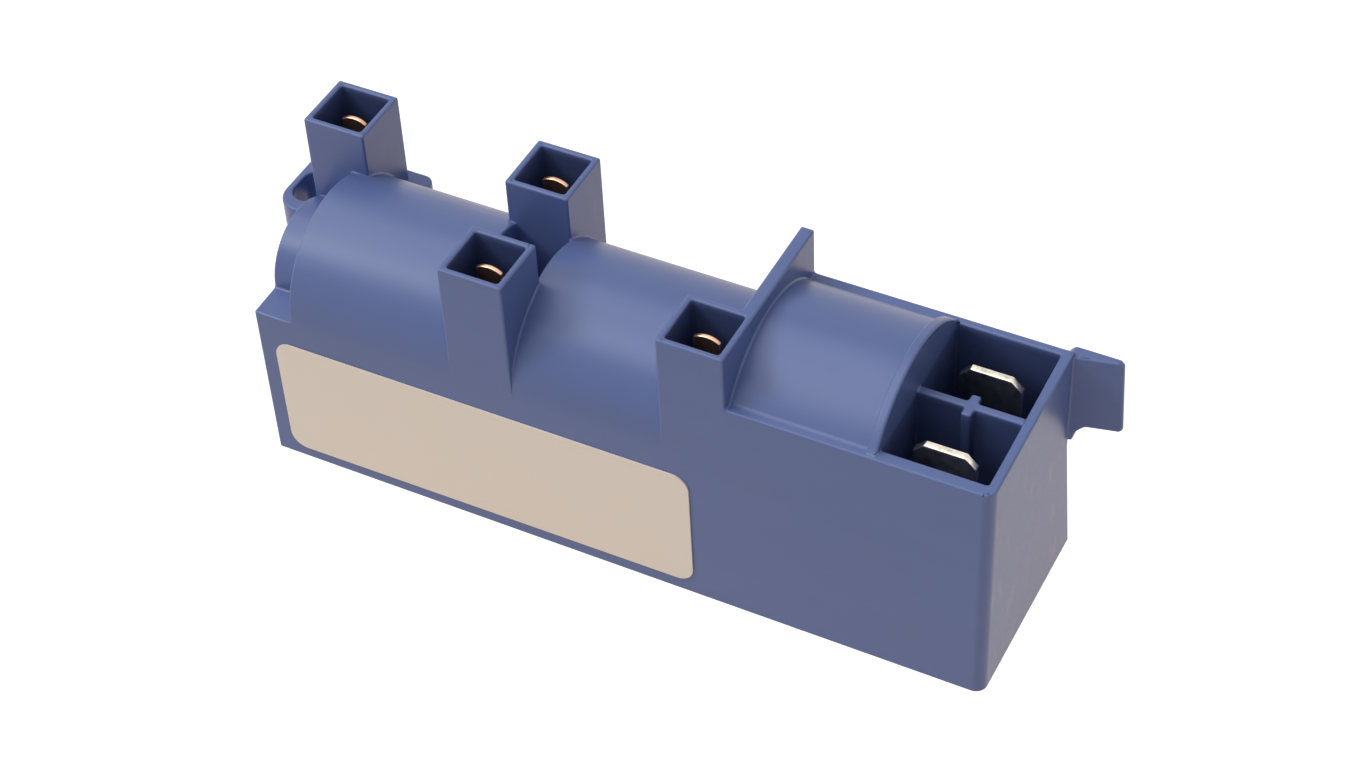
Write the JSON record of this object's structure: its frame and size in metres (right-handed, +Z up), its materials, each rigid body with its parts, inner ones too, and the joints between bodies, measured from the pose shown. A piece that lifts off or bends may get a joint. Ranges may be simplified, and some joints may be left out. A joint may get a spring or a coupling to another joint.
{
  "type": "gas stove ignition module",
  "caption": "Potted spark generator for a gas hob: a barrel-topped plastic housing with square high-voltage outlet towers, a divided mains socket and two fixing lugs.",
  "frame": {"origin": "middle of the underside of the whole module, on the plane that the housing's foot stands on", "axes": "+X along the length to the mains socket, +Y from the labelled front to the back, +Z up out of the outlet towers"},
  "size_m": [0.089, 0.0224, 0.0334],
  "materials": {
    "housing_plastic": "satin moulded blue grey plastic",
    "label_paper": "plain pale label",
    "tinned_brass": "dull tin plate",
    "copper_pin": "stamped copper strip",
    "resin": "cast black resin",
    "board": "phenolic board",
    "ferrite": "dark ferrite",
    "bobbin_plastic": "natural moulded plastic",
    "enamelled_wire": "enamelled copper wire",
    "capacitor_case": "dipped film capacitor",
    "diode_case": "moulded black case",
    "resistor_body": "coated ceramic rod"
  },
  "bodies": {
    "root": {"housing": "housing_plastic", "label": "label_paper", "mains_terminal_front": "tinned_brass", "mains_terminal_back": "tinned_brass", "outlet_pin_1": "copper_pin", "outlet_pin_2": "copper_pin", "outlet_pin_3": "copper_pin", "outlet_pin_4": "copper_pin", "circuit_board": "board", "potting_resin": "resin", "ferrite_core_left": "ferrite", "ferrite_core_right": "ferrite", "bobbin_left": "bobbin_plastic", "bobbin_right": "bobbin_plastic", "primary_winding_left": "enamelled_wire", "primary_winding_right": "enamelled_wire", "secondary_winding_left": "enamelled_wire", "secondary_winding_right": "enamelled_wire", "storage_capacitor": "capacitor_case", "rectifier_diode": "diode_case", "blocking_diode": "diode_case", "input_resistor": "resistor_body", "bleed_resistor": "resistor_body", "spark_gap_switch": "resistor_body"}
  },
  "joints": []
}
